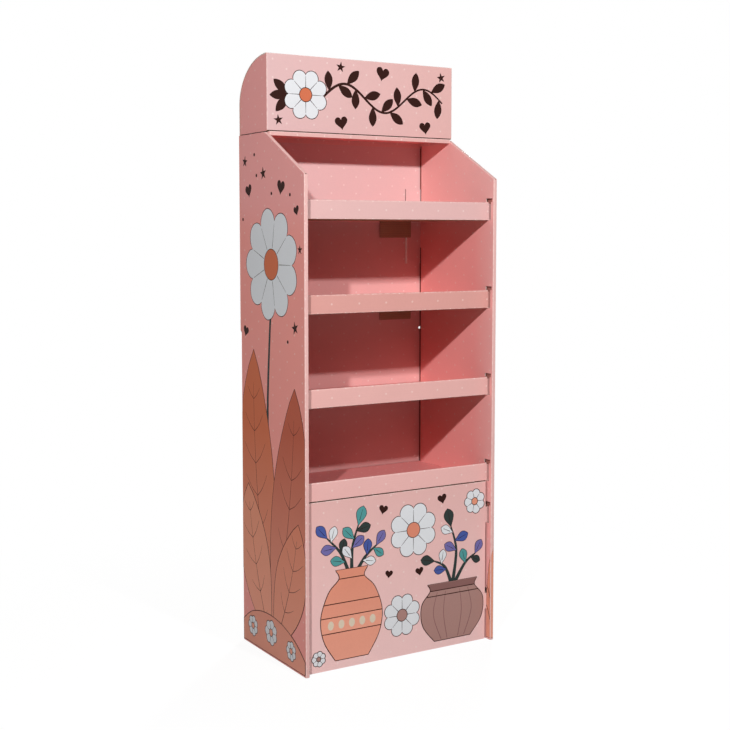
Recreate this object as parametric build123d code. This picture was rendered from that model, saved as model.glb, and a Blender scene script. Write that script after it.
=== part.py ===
"""Free-standing cardboard display stand, in millimetres: X across, Y from front to back, Z up.

Each hollow side wall is one folded sheet. The shelves and the base front hang by hooks in slots of the
walls, a roof tray and a rolled header close the top, and a slotted cross stands under the lowest shelf.
"""

import os

from build123d import *

# Board and folds
board = 3.0
fold_radius = 2.0
fit_gap = 0.5  # play between a sheet's edge and the face beside it

# Side walls
stand_width = 600.0
wall_depth = 367.0
wall_cavity = 5.0  # between a wall's outer and inner panels
top_margin = 63.0  # from the top lip up to the start of the bevel
bevel_rise = 118.0
bevel_run = 218.0
bevel_slit = 1.6  # cut between the front fold and the bevel flap
corner_gap = 7.0  # from an inner panel's rear edge to the back panel

# Lock flaps, folded from the inner panels onto the back panel beside the top shelf
lock_flap_width = 52.0
lock_flap_height = 220.0
lock_flap_drop = 125.0  # below the top shelf

# Back panel and the thick board behind its upper part
back_flange = 60.0
stiffener_thickness = 7.0
stiffener_height = 543.0
stiffener_radius = 12.0
corner_hole = 8.0  # diameter
corner_hole_drop = 5.0  # below the stiffener, to the hole's centre

# Shelves
shelf_count = 4
shelf_pitch = 242.0
base_height = 452.0  # from the ground to the underside of the lowest shelf
lip_height = 49.0
lip_recess = 22.0
rear_tab_width = 108.0
rear_tab_drop = 48.0
rear_tab_inset = 36.0  # from the wall
rear_tab_radius = 3.0
ear_length = 50.0
ear_setback = 4.0  # from the back panel's flange

# Hooks and their slots
hook_neck = 45.0
hook_drop = 10.0
hook_play = 0.4  # between the hook's tongue and the wall it hangs on
slot_height = 60.0
slot_lead = 10.0  # open slot ahead of the hook
slot_head_height = 10.0
slot_head_overhang = 5.5  # of the slot's head past its stem, to each side

# Base front and the cross behind it
base_recess = 19.5
base_seam = 1.5  # between the base front and the lowest shelf
base_side_gap = 5.0
lower_hook_height = 86.0
upper_hook_drop = 119.0  # below the lowest shelf
cross_slot_gap = 0.2  # to each side of a crossing board

# Roof tray
roof_height = 11.0
roof_lead = 1.5  # ahead of the header's front
roof_rear_flange = 17.0

# Header
header_height = 203.0
header_overhang = 6.0  # ahead of the bevel's top end
header_seam = 2.5  # open seam between the header's front and the roof tray
roll_rise = 125.0  # height of the rolled corner
roll_edge = 0.8  # of the rolled sheet past the cheeks
leg_setback = 28.0  # from the header's front
leg_length = 60.0
leg_clearance = 4.0  # to the back panel's flange
tongue_width = 480.0
tongue_length = 230.0
tongue_radius = 20.0
tongue_shoulder = 15.0  # of the full-width edge that laps over the stiffener's top

# Places that follow from the sizes above
stand_depth = wall_depth + stiffener_thickness + board
front_y = -stand_depth / 2
wall_rear_y = front_y + wall_depth
back_front_y = wall_rear_y - board
flange_front_y = back_front_y - back_flange
header_front_y = front_y + bevel_run - header_overhang
header_rear_y = front_y + stand_depth
lip_front_y = front_y + lip_recess
base_front_y = front_y + base_recess
shelf_rear_y = back_front_y - board - fit_gap

outer_x = stand_width / 2
inner_x = outer_x - 2 * board - wall_cavity  # inner face of a wall
cavity_x = inner_x + board
cheek_x = outer_x - board - (wall_cavity - board) / 2

shelf_heights = [base_height + shelf_pitch * place for place in range(shelf_count)]
bevel_start = shelf_heights[-1] + lip_height + top_margin
wall_height = bevel_start + bevel_rise
roof_top = wall_height + board
header_top = roof_top + header_height
stiffener_bottom = wall_height - stiffener_height
base_hook_heights = [lower_hook_height, base_height - upper_hook_drop]


def span(low, high):
    """Middle and length of a stretch."""
    return (low + high) / 2, high - low


def rectangle(left, right, low, high):
    """Rectangle between two pairs of edges."""
    (across, width), (along, length) = span(left, right), span(low, high)
    return Pos(across, along) * Rectangle(width, length)


def sheet_facing_front(outline, y, thickness=board):
    """Board cut to an outline in X and Z, with its front face at y."""
    return extrude(Plane.XZ.offset(-y) * outline, amount=-thickness)


def sheet_facing_side(outline, x, thickness=board):
    """Board cut to an outline in Y and Z, from x towards the right."""
    return extrude(Plane.YZ.offset(x) * outline, amount=thickness)


def sheet_lying(outline, z, thickness=board):
    """Board cut to an outline in X and Y, from z upwards."""
    return extrude(Plane.XY.offset(z) * outline, amount=thickness)


def both_sides(shape):
    """A shape on the right and its mirror image on the left."""
    return shape + mirror(shape, Plane.YZ)


def hook_outline(edge_x, bottom):
    """Hook on a sheet's right edge: a neck through the wall and a tongue down behind it."""
    tongue = cavity_x + hook_play
    tip = cavity_x + wall_cavity - fit_gap
    top = bottom + hook_neck
    lead = (tip - tongue) / 2
    return make_face(
        Polyline(
            (edge_x - board, bottom),
            (tongue, bottom),
            (tongue, bottom - hook_drop),
            (tongue + lead, bottom - hook_drop),
            (tip, bottom - hook_drop + lead),
            (tip, top - lead),
            (tip - lead, top),
            (edge_x - board, top),
            close=True,
        )
    )


def hook_slot(sheet_y, bottom):
    """T-shaped slot through a wall's inner panel for the hook of a sheet that stands at sheet_y."""
    stem_front = sheet_y - slot_lead
    stem_rear = sheet_y + 2 * board + fit_gap
    top = bottom + slot_height
    stem = rectangle(stem_front, stem_rear, bottom, top)
    head = rectangle(
        stem_front - slot_head_overhang, stem_rear + slot_head_overhang, top - slot_head_height, top
    )
    return sheet_facing_side(stem + head, inner_x)


def wall_outline(extra=0.0):
    """Side view of a wall, made longer past its open bottom, rear and top by extra."""
    top = wall_height + extra
    rear = wall_rear_y + extra
    bevel_end = front_y + bevel_run * (1 + extra / bevel_rise)
    return make_face(
        Polyline(
            (front_y, -extra),
            (front_y, bevel_start),
            (bevel_end, top),
            (rear, top),
            (rear, -extra),
            close=True,
        )
    )


def ear_span():
    """Front and rear ends of a shelf's side ear."""
    rear = flange_front_y - ear_setback
    return rear - ear_length, rear


def right_side_wall():
    """Hollow wall, open below, behind and on top, with slots in its inner panel and a lock flap."""
    wall = sheet_facing_side(wall_outline(), inner_x, outer_x - inner_x)
    folds = wall.edges().filter_by(Axis.X, reverse=True)
    front_folds = folds.filter_by(Axis.Z).group_by(Axis.Y)[0]
    bevel_folds = folds.filter_by(Axis.Y, reverse=True).filter_by(Axis.Z, reverse=True)
    wall = fillet(front_folds + bevel_folds, fold_radius)
    wall -= sheet_facing_side(offset(wall_outline(2 * board), -board), cavity_x, wall_cavity)

    # The flap along the bevel is cut free from the front fold
    cut = Box(wall_cavity, 2 * fold_radius + 2 * board, bevel_slit)
    wall -= Pos(cavity_x + wall_cavity / 2, front_y, bevel_start) * cut

    # The inner panel stops short of the back panel, apart from its lock flap
    panel_rear_y = back_front_y - corner_gap
    wall -= sheet_facing_side(
        rectangle(panel_rear_y, wall_rear_y, 0, wall_height), inner_x
    )
    flap_bottom = shelf_heights[-1] - lock_flap_drop
    fold = make_face(
        Polyline(
            (cavity_x, panel_rear_y),
            (cavity_x, back_front_y),
            (inner_x - lock_flap_width, back_front_y),
            (inner_x - lock_flap_width, back_front_y - board),
            (inner_x, back_front_y - board),
            (inner_x, panel_rear_y),
            close=True,
        )
    )
    wall += sheet_lying(fold, flap_bottom, lock_flap_height)

    for height in shelf_heights:
        wall -= hook_slot(lip_front_y, height)
        ear_front, ear_rear = ear_span()
        ear_slot = rectangle(ear_front - fit_gap, ear_rear + fit_gap, height, height + board + fit_gap)
        wall -= sheet_facing_side(ear_slot, inner_x)
    for height in base_hook_heights:
        wall -= hook_slot(base_front_y, height)
    return wall


def back_panel():
    """Back sheet with a flange folded forwards into each side wall."""
    edge = outer_x - board
    folded = rectangle(-edge, edge, flange_front_y, wall_rear_y)
    folded = fillet(folded.vertices().group_by(Axis.Y)[-1], fold_radius)
    folded -= rectangle(-edge + board, edge - board, flange_front_y, back_front_y)
    panel = sheet_lying(folded, 0, wall_height)
    hole = Pos(inner_x, stiffener_bottom - corner_hole_drop) * Circle(corner_hole / 2)
    return panel - both_sides(sheet_facing_front(hole, back_front_y))


def rear_stiffener():
    """Thick board glued behind the upper part of the back panel."""
    outline = rectangle(-outer_x, outer_x, stiffener_bottom, wall_height)
    outline = fillet(outline.vertices().group_by(Axis.Y)[0], stiffener_radius)
    return sheet_facing_front(outline, wall_rear_y, stiffener_thickness)


def shelf():
    """Shelf with a doubled front lip, hooks, side ears and rear tabs, with its underside at zero."""
    edge = inner_x - fit_gap
    lip_rear_y = lip_front_y + 2 * board
    ear_front, ear_rear = ear_span()
    ear_tip = cavity_x + wall_cavity / 2
    deck = rectangle(-edge, edge, lip_rear_y, shelf_rear_y)
    deck += rectangle(-ear_tip, ear_tip, ear_front, ear_rear)

    lip = rectangle(lip_front_y, lip_rear_y, 0, lip_height)
    lip = fillet(lip.vertices().group_by(Axis.Y)[-1], 0.95 * board)
    bottom_fold = lip.vertices().group_by(Axis.Y)[0].sort_by(Axis.X)[0]
    lip = fillet(bottom_fold, fold_radius)

    tab_outer = inner_x - rear_tab_inset
    tab = rectangle(tab_outer - rear_tab_width, tab_outer, -rear_tab_drop, board)
    tab = fillet(tab.vertices().group_by(Axis.Y)[0], rear_tab_radius)

    tray = sheet_lying(deck, 0) + sheet_facing_side(lip, -edge, 2 * edge)
    tray += both_sides(sheet_facing_front(hook_outline(edge, 0), lip_front_y))
    return tray + both_sides(sheet_facing_front(tab, shelf_rear_y - board))


def base_front():
    """Front sheet of the base, hooked to both walls."""
    edge = inner_x - base_side_gap
    outline = rectangle(-edge, edge, 0, base_height - base_seam)
    sheet = sheet_facing_front(outline, base_front_y)
    for height in base_hook_heights:
        sheet += both_sides(sheet_facing_front(hook_outline(edge, height), base_front_y))
    return sheet


def cross_boards():
    """Two boards slotted into each other, on the ground under the lowest shelf."""
    half = base_height / 2
    slot = board / 2 + cross_slot_gap
    front, rear = base_front_y + board + fit_gap, shelf_rear_y - board - fit_gap
    middle = (front + rear) / 2
    edge = inner_x - fit_gap
    long_outline = rectangle(-edge, edge, 0, base_height) - rectangle(-slot, slot, half, base_height)
    short_outline = rectangle(front, rear, 0, base_height) - rectangle(
        middle - slot, middle + slot, 0, half
    )
    long_board = sheet_facing_front(long_outline, middle - board / 2)
    return long_board, sheet_facing_side(short_outline, -board / 2)


def roof_tray():
    """Shallow tray, open below, glued between the walls, with a deeper flange on the back panel."""
    front, bottom = header_front_y - roof_lead, roof_top - roof_height
    folded = rectangle(front, back_front_y, bottom, roof_top)
    folded += rectangle(back_front_y - board, back_front_y, roof_top - roof_rear_flange, roof_top)
    folded = fillet(folded.vertices().group_by(Axis.Y)[-1], fold_radius)
    inside = rectangle(front + board, back_front_y - board, bottom, roof_top - board)
    tray = sheet_facing_side(folded, -inner_x, 2 * inner_x)
    return tray - sheet_facing_side(inside, board - inner_x, 2 * (inner_x - board))


def header_outline(inset, bottom):
    """Side view of the header within its sheet: an upright front and a quarter ellipse to the rear."""
    front, rear = header_front_y + inset, header_rear_y - inset
    top, spring = header_top - inset, header_top - roll_rise
    roll = EllipticalCenterArc((front, spring), rear - front, top - spring, arc_size=90)
    sides = Polyline((front, top), (front, bottom), (rear, bottom), (rear, spring))
    return make_face(roll + sides)


def header_box():
    """Header folded from one sheet: front, cheeks, roll, legs into the walls and a tongue behind."""
    box = sheet_facing_side(header_outline(0, roof_top), -cheek_x, 2 * cheek_x)
    front_folds = box.edges().filter_by(Axis.Z).group_by(Axis.Y)[0]
    top_fold = box.edges().filter_by(Axis.X).group_by(Axis.Z)[-1]
    box = fillet(front_folds + top_fold, fold_radius)

    roll_x = cheek_x + roll_edge
    behind_fold = rectangle(header_front_y + board, header_rear_y, roof_top, header_top)
    roll = header_outline(0, roof_top) - header_outline(board, roof_top - board)
    roll = sheet_facing_side(roll & behind_fold, -roll_x, 2 * roll_x)
    hollow = sheet_facing_side(
        header_outline(board, roof_top - board), board - cheek_x, 2 * (cheek_x - board)
    )
    box = box - hollow + roll
    seam = rectangle(header_front_y, header_front_y + board, roof_top, roof_top + header_seam)
    box -= sheet_facing_side(seam, -cheek_x, 2 * cheek_x)

    leg_front, leg_rear = header_front_y + leg_setback, flange_front_y - leg_clearance
    leg = rectangle(leg_front, leg_rear, roof_top - leg_length, roof_top + board)
    box += both_sides(sheet_facing_side(leg, cheek_x - board))

    half = tongue_width / 2
    tongue = rectangle(-half, half, roof_top - tongue_length, roof_top)
    tongue = fillet(tongue.vertices().group_by(Axis.Y)[0], tongue_radius)
    tongue += rectangle(-roll_x, roll_x, roof_top - tongue_shoulder, roof_top)
    return box + sheet_facing_front(tongue, header_rear_y - board)


def stand():
    """Every piece by name."""
    pieces = {"right_side_wall": right_side_wall()}
    pieces["left_side_wall"] = mirror(pieces["right_side_wall"], Plane.YZ)
    pieces["back_panel"] = back_panel()
    pieces["rear_stiffener"] = rear_stiffener()
    tray = shelf()
    for number, height in enumerate(reversed(shelf_heights), start=1):
        pieces[f"shelf_{number}"] = Pos(0, 0, height) * tray
    pieces["base_front"] = base_front()
    pieces["base_cross_long"], pieces["base_cross_short"] = cross_boards()
    pieces["roof_tray"] = roof_tray()
    pieces["header_box"] = header_box()
    return pieces


os.makedirs("parts", exist_ok=True)
for name, piece in stand().items():
    export_step(piece, f"parts/{name}.step")
    print(f"{name}: {piece.volume:.0f} mm3")
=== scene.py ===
import math

import bmesh
import bpy
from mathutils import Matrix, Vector


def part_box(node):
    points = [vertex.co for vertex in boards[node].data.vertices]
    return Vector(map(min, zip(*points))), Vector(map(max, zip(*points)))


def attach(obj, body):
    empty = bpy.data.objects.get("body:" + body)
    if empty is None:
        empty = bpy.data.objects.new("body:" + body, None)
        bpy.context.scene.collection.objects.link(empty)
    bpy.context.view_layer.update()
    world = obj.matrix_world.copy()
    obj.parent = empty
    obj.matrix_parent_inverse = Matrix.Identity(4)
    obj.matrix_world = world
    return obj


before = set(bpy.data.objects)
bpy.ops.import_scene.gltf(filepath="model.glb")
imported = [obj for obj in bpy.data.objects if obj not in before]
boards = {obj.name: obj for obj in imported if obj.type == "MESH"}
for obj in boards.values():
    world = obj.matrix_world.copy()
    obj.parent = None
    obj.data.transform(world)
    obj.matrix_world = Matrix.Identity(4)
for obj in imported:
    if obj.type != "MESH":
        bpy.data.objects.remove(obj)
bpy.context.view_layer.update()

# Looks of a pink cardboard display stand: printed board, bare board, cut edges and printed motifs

scene = bpy.context.scene
MM = 0.001

# Places on the stand, in metres
wall_low, wall_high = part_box("right_side_wall")
base_low, base_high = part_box("base_front")
header_low, header_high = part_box("header_box")
roof_low, roof_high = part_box("roof_tray")
_, shelf_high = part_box("shelf_1")
_, back_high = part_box("back_panel")

BOARD = 3 * MM
WALL_THICKNESS = 11 * MM
LIP_HEIGHT = 49 * MM
ROLL_RISE = 125 * MM
ROLL_EDGE = 0.8 * MM
LOCK_FOLD_LOW = 1100 * MM
LOCK_FOLD_HIGH = 1235 * MM
FLAP_HIGHLIGHT_WIDTH = 5 * MM
CORNER_GAP = 7 * MM

# Small steps that tell the two faces of a sheet apart
IN_SHEET = 2 * MM
HAIR = 0.1 * MM

front_y = wall_low.y
outer_x = wall_high.x
inner_x = outer_x - WALL_THICKNESS
lock_flap_edge_x = wall_low.x
flange_x = back_high.x - IN_SHEET
back_face_y = back_high.y - BOARD
header_front_y = header_low.y
roll_spring_z = header_high.z - ROLL_RISE
cheek_x = header_high.x - ROLL_EDGE
top_bay_z = shelf_high.z - LIP_HEIGHT

# Part of a face's direction that lies along an axis
BARELY = 0.02
SLIGHTLY = 0.3
MOSTLY = 0.5
NEARLY = 0.8
SQUARELY = 0.95

# Corrugated board: its flutes, and where a plain cut goes through them
FLUTE_PITCH = 6.5 * MM
LINER = 0.45 * MM
PLAIN_CUT = 1.2 * MM

# Dots of the print, and the place of one dot on each board
DOT_PITCH = 82.4 * MM
DOT_ROW = 23.8 * MM
DOT_RADIUS = 2.7 * MM
DOT_SOFTNESS = 0.12
DOT_STRENGTH = 0.32
WALL_DOT = (-10 * MM, 1334 * MM)
BACK_DOT = (26 * MM, 1281 * MM)
BASE_DOT = (11 * MM, 421 * MM)
HEADER_DOT = (10 * MM, roof_high.z + 69 * MM)
LIP_DOT_ACROSS = 38 * MM

# Grain, gloss and relief of the papers
FIBRE_SCALE = 620.0
SPECK_SCALE = 190.0
PATCH_SCALE = 7.0
RUB_SCALE = 90.0
SPECK_SHARE = 0.5
PATCH_SHARE = 0.4
GLOSS_SWING = 0.06
PRINT_GRAIN = 0.16
BARE_GRAIN = 0.5
INK_GRAIN = 0.22
PRINT_ROUGHNESS = 0.5
BARE_ROUGHNESS = 0.82
CUT_ROUGHNESS = 0.9
BOARD_SHINE = 0.1
INK_SHINE = 0.04
PRINT_RIBS = 0.5
BARE_RIBS = 1.4
RIB_TONES = (0.93, 1.03)
GRAIN_RELIEF = 0.25
CUT_RELIEF = 2.0
BUMP_STRENGTH = 0.35
BUMP_DEPTH = 0.3 * MM
SCUFF_REACH = 3 * MM

# Painted light, paler print: where it starts above the top shelf, and behind the walls' front edges
TOP_LIGHT_BAND = 60 * MM
PALE_FROM = 5 * MM
PALE_TO = 90 * MM
PALE_SHARE = 0.7


def srgb(red, green, blue):
    """Colour written as on a screen, 0 to 255, as Blender's linear values."""
    def linear(level):
        share = level / 255
        return share / 12.92 if share <= 0.04045 else ((share + 0.055) / 1.055) ** 2.4

    return linear(red), linear(green), linear(blue), 1.0


# Colours; the pinks are copies of one print ink that carry painted light and shade
# Paler FRONT, HEADER, FOOT and TOP pinks hold painted light, redder WALL and INNER pinks painted shade
FRONT_PINK = srgb(230, 182, 177)
HEADER_PINK = srgb(221, 183, 182)
FOOT_PINK = srgb(246, 205, 202)
WALL_PINK = srgb(240, 156, 147)
WALL_TOP_PINK = srgb(241, 165, 161)
INNER_PINK = srgb(250, 164, 160)
INNER_TOP_PINK = srgb(248, 187, 183)
BACK_PINK = srgb(234, 177, 174)
BACK_TOP_PINK = srgb(224, 186, 185)
DECK_PINK = srgb(227, 141, 139)
LIP_PINKS = (srgb(224, 181, 178), srgb(218, 159, 151), srgb(231, 178, 172), srgb(236, 183, 178))
DOT_WHITE = srgb(250, 236, 230)
SCUFF = srgb(244, 216, 208)
KRAFT = srgb(176, 136, 110)
CUT_PAPER = srgb(206, 172, 160)
CUT_SIDE = srgb(234, 210, 202)
# Painted highlight for the lock flap's edge
FLAP_HIGHLIGHT_COLOUR = srgb(253, 246, 240)
CUT_SHADE = srgb(112, 82, 72)
HOLLOW_PAPER = srgb(194, 124, 114)
HOLLOW_SHADE = srgb(62, 34, 30)
CORNER_SHADE = srgb(158, 88, 82)

INKS = {
    "line_brown": srgb(52, 28, 24),
    "branch_dark": srgb(52, 62, 60),
    "terracotta": srgb(208, 115, 82),
    "terracotta_deep": srgb(188, 98, 76),
    "terracotta_pale": srgb(224, 142, 110),
    "mauve": srgb(174, 134, 126),
    "mauve_deep": srgb(140, 100, 96),
    "cream": srgb(222, 206, 184),
    "white": srgb(226, 228, 231),
    "teal": srgb(84, 154, 154),
    "blue": srgb(74, 92, 160),
    "violet": srgb(116, 110, 168),
}
BLUSH = srgb(244, 172, 150)
FADING_INKS = ("terracotta", "terracotta_deep", "terracotta_pale")
FADE_TOP = 0.62
FADE_SHARE = 0.85


class Tree:
    """A node tree with short ways to add nodes and join them."""

    def __init__(self, tree):
        self.tree = tree
        self.tree.nodes.clear()

    def join(self, value, socket):
        """Links a socket to another, or sets it to a plain value."""
        if isinstance(value, bpy.types.NodeSocket):
            self.tree.links.new(value, socket)
        else:
            socket.default_value = value

    def node(self, kind, inputs=None, **settings):
        """A new node with its settings, and its inputs by name or place."""
        made = self.tree.nodes.new(kind)
        for name, value in settings.items():
            setattr(made, name, value)
        for name, value in (inputs or {}).items():
            self.join(value, made.inputs[name])
        return made

    def math(self, operation, *values, clamp=False):
        inputs = dict(enumerate(values))
        return self.node("ShaderNodeMath", inputs, operation=operation, use_clamp=clamp).outputs[0]

    def chain(self, operation, first, others):
        """One operation over any number of values."""
        for other in others:
            first = self.math(operation, first, other)
        return first

    def plus(self, first, *others):
        return self.chain("ADD", first, others)

    def minus(self, first, second):
        return self.math("SUBTRACT", first, second)

    def times(self, first, *others):
        return self.chain("MULTIPLY", first, others)

    # Spots that lie in every mask
    both = times

    def least(self, first, *others):
        return self.chain("MINIMUM", first, others)

    def size(self, value):
        return self.math("ABSOLUTE", value)

    def length(self, *sides):
        """How long a line is that runs so far in each direction."""
        return self.math("SQRT", self.plus(*[self.math("POWER", side, 2.0) for side in sides]))

    def above(self, value, limit):
        return self.math("GREATER_THAN", value, limit)

    def below(self, value, limit):
        return self.math("LESS_THAN", value, limit)

    def either(self, first, *others):
        """Spots that lie in any mask."""
        return self.chain("MAXIMUM", first, others)

    def without(self, mask, removed):
        return self.math("SUBTRACT", mask, removed, clamp=True)

    def choose(self, mask, value_if, value_else):
        """One value where the mask is 1 and another where it is 0."""
        inputs = {0: mask, 2: value_else, 3: value_if}
        return self.node("ShaderNodeMix", inputs, data_type="FLOAT", clamp_factor=True).outputs[0]

    def blend(self, mask, colour_if, colour_else):
        """The same with colours."""
        inputs = {0: mask, 6: colour_else, 7: colour_if}
        return self.node("ShaderNodeMix", inputs, data_type="RGBA", clamp_factor=True).outputs[2]

    def mix_shaders(self, mask, shader_if, shader_else):
        """The same with shaders."""
        inputs = {0: mask, 1: shader_else, 2: shader_if}
        return self.node("ShaderNodeMixShader", inputs).outputs[0]

    def toned(self, colour, tone):
        """A colour made lighter or darker by a tone near 1."""
        hue = colour if isinstance(colour, bpy.types.NodeSocket) else colour[:3]
        return self.node("ShaderNodeVectorMath", {0: hue, "Scale": tone}, operation="SCALE").outputs[0]

    def range(self, value, low, high, new_low=0.0, new_high=1.0, smooth=False):
        inputs = dict(enumerate((value, low, high, new_low, new_high)))
        style = "SMOOTHSTEP" if smooth else "LINEAR"
        return self.node("ShaderNodeMapRange", inputs, interpolation_type=style).outputs[0]

    def noise(self, spot, scale, detail=3.0, roughness=0.55):
        inputs = {"Vector": spot, "Scale": scale, "Detail": detail, "Roughness": roughness}
        return self.node("ShaderNodeTexNoise", inputs).outputs[0]

    def split(self, vector):
        return self.node("ShaderNodeSeparateXYZ", {0: vector}).outputs

    def group(self, name, inputs):
        return self.node("ShaderNodeGroup", inputs, node_tree=bpy.data.node_groups[name]).outputs


# Effects that several finishes share

def new_group(name, inputs, outputs):
    """Empty node group with float or vector inputs and float outputs."""
    group = bpy.data.node_groups.new(name, "ShaderNodeTree")
    for socket, kind in inputs.items():
        group.interface.new_socket(name=socket, in_out="INPUT", socket_type="NodeSocket" + kind)
    for socket in outputs:
        group.interface.new_socket(name=socket, in_out="OUTPUT", socket_type="NodeSocketFloat")
    tree = Tree(group)
    source = tree.node("NodeGroupInput").outputs
    sink = tree.node("NodeGroupOutput").inputs
    return tree, source, sink


def make_polka_dots():
    """Mask of small dots in rows, each row half a step along from the last."""
    tree, source, sink = new_group("polka_dots", {"Across": "Float", "Up": "Float"}, ["Mask"])
    row = tree.math("ROUND", tree.math("DIVIDE", source["Up"], DOT_ROW))
    rise = tree.minus(source["Up"], tree.times(row, DOT_ROW))
    odd = tree.math("FLOORED_MODULO", row, 2.0)
    along = tree.plus(source["Across"], tree.times(odd, DOT_PITCH / 2))
    place = tree.math("ROUND", tree.math("DIVIDE", along, DOT_PITCH))
    run = tree.minus(along, tree.times(place, DOT_PITCH))
    rim = (1 + DOT_SOFTNESS) * DOT_RADIUS
    core = (1 - DOT_SOFTNESS) * DOT_RADIUS
    tree.join(tree.range(tree.length(run, rise), rim, core, smooth=True), sink["Mask"])


def make_paper_grain():
    """Fine fibres and slow patches of a coated paper."""
    tree, source, sink = new_group(
        "paper_grain", {"Spot": "Vector", "Strength": "Float"}, ["Tone", "Height", "Gloss"]
    )
    fibres = tree.noise(source["Spot"], FIBRE_SCALE, 4.0, 0.6)
    specks = tree.noise(source["Spot"], SPECK_SCALE, 2.0)
    patches = tree.noise(source["Spot"], PATCH_SCALE, 2.0)
    mixed = tree.choose(PATCH_SHARE, patches, tree.choose(SPECK_SHARE, specks, fibres))
    swing = tree.times(tree.minus(mixed, 0.5), source["Strength"])
    gloss = tree.range(tree.plus(patches, specks), 0.7, 1.3, -GLOSS_SWING, GLOSS_SWING)
    tree.join(tree.plus(swing, 1.0), sink["Tone"])
    tree.join(fibres, sink["Height"])
    tree.join(gloss, sink["Gloss"])


def flute_wave(tree, along):
    return tree.math("SINE", tree.times(along, math.tau / FLUTE_PITCH))


def make_flute_ribs():
    """Faint ribs of the flutes under a liner."""
    tree, source, sink = new_group("flute_ribs", {"Along": "Float"}, ["Height"])
    tree.join(tree.range(flute_wave(tree, source["Along"]), -1.0, 1.0), sink["Height"])


def make_cut_flutes():
    """Mask of the paper in a cut edge: two liners and the wave between them."""
    tree, source, sink = new_group("cut_flutes", {"Along": "Float", "Depth": "Float"}, ["Paper"])
    depth = tree.math("PINGPONG", source["Depth"], BOARD)
    crest = tree.times(flute_wave(tree, source["Along"]), BOARD / 2 - LINER)
    from_wave = tree.size(tree.minus(tree.minus(depth, BOARD / 2), crest))
    medium = tree.range(from_wave, 1.3 * LINER, 0.5 * LINER, smooth=True)
    from_face = tree.least(depth, tree.minus(BOARD, depth))
    liner = tree.range(from_face, 1.2 * LINER, 0.8 * LINER, smooth=True)
    tree.join(tree.either(medium, liner), sink["Paper"])


def make_fold_scuffs():
    """Mask of the rubbed ink along a fold or an edge, broken up by the grain."""
    tree, source, sink = new_group(
        "fold_scuffs", {"Spot": "Vector", "Distance": "Float", "Reach": "Float"}, ["Mask"]
    )
    rubbed = tree.range(tree.noise(source["Spot"], RUB_SCALE), 0.35, 0.62)
    near = tree.without(1.0, tree.math("DIVIDE", source["Distance"], source["Reach"]))
    tree.join(tree.times(near, rubbed), sink["Mask"])


make_polka_dots()
make_paper_grain()
make_flute_ribs()
make_cut_flutes()
make_fold_scuffs()


class BoardTree(Tree):
    """Nodes of a board's material, with the place and the facing of each spot in the stand's frame."""

    def __init__(self, name):
        self.material = bpy.data.materials.new(name)
        self.material.use_nodes = True
        super().__init__(self.material.node_tree)
        self.spot = self.node("ShaderNodeTexCoord").outputs["Object"]
        self.x, self.y, self.z = self.split(self.spot)
        facing = self.node("ShaderNodeNewGeometry").outputs["True Normal"]
        self.nx, self.ny, self.nz = self.split(facing)
        self.side = self.size(self.x)
        self.faces_side = self.above(self.size(self.nx), MOSTLY)
        self.faces_front = self.below(self.ny, -MOSTLY)
        self.faces_down = self.below(self.nz, -NEARLY)
        faces_up_or_down = self.without(self.above(self.size(self.nz), NEARLY), self.faces_side)
        self.across = self.choose(self.faces_side, self.y, self.x)
        self.up = self.choose(faces_up_or_down, self.y, self.z)

    def distance(self, *pairs):
        """How far a spot is from an edge, given by two coordinates and their values there."""
        return self.length(*[self.minus(value, target) for value, target in pairs])

    def top_bay_light(self):
        """Painted light: how far the print turns paler from the top shelf upwards, where the light is
        strongest.
        """
        return self.range(self.z, top_bay_z - TOP_LIGHT_BAND, top_bay_z + TOP_LIGHT_BAND, smooth=True)

    def finish(self, colour, roughness, height, shine):
        """Joins colour, gloss and relief in the shader of the material."""
        bump = self.node(
            "ShaderNodeBump", {"Height": height, "Strength": BUMP_STRENGTH, "Distance": BUMP_DEPTH}
        )
        shader = self.node("ShaderNodeBsdfPrincipled", {
            "Base Color": colour,
            "Roughness": roughness,
            "Normal": bump.outputs[0],
            "Specular IOR Level": shine,
        })
        self.node("ShaderNodeOutputMaterial", {"Surface": shader.outputs[0]})
        return self.material


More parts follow.
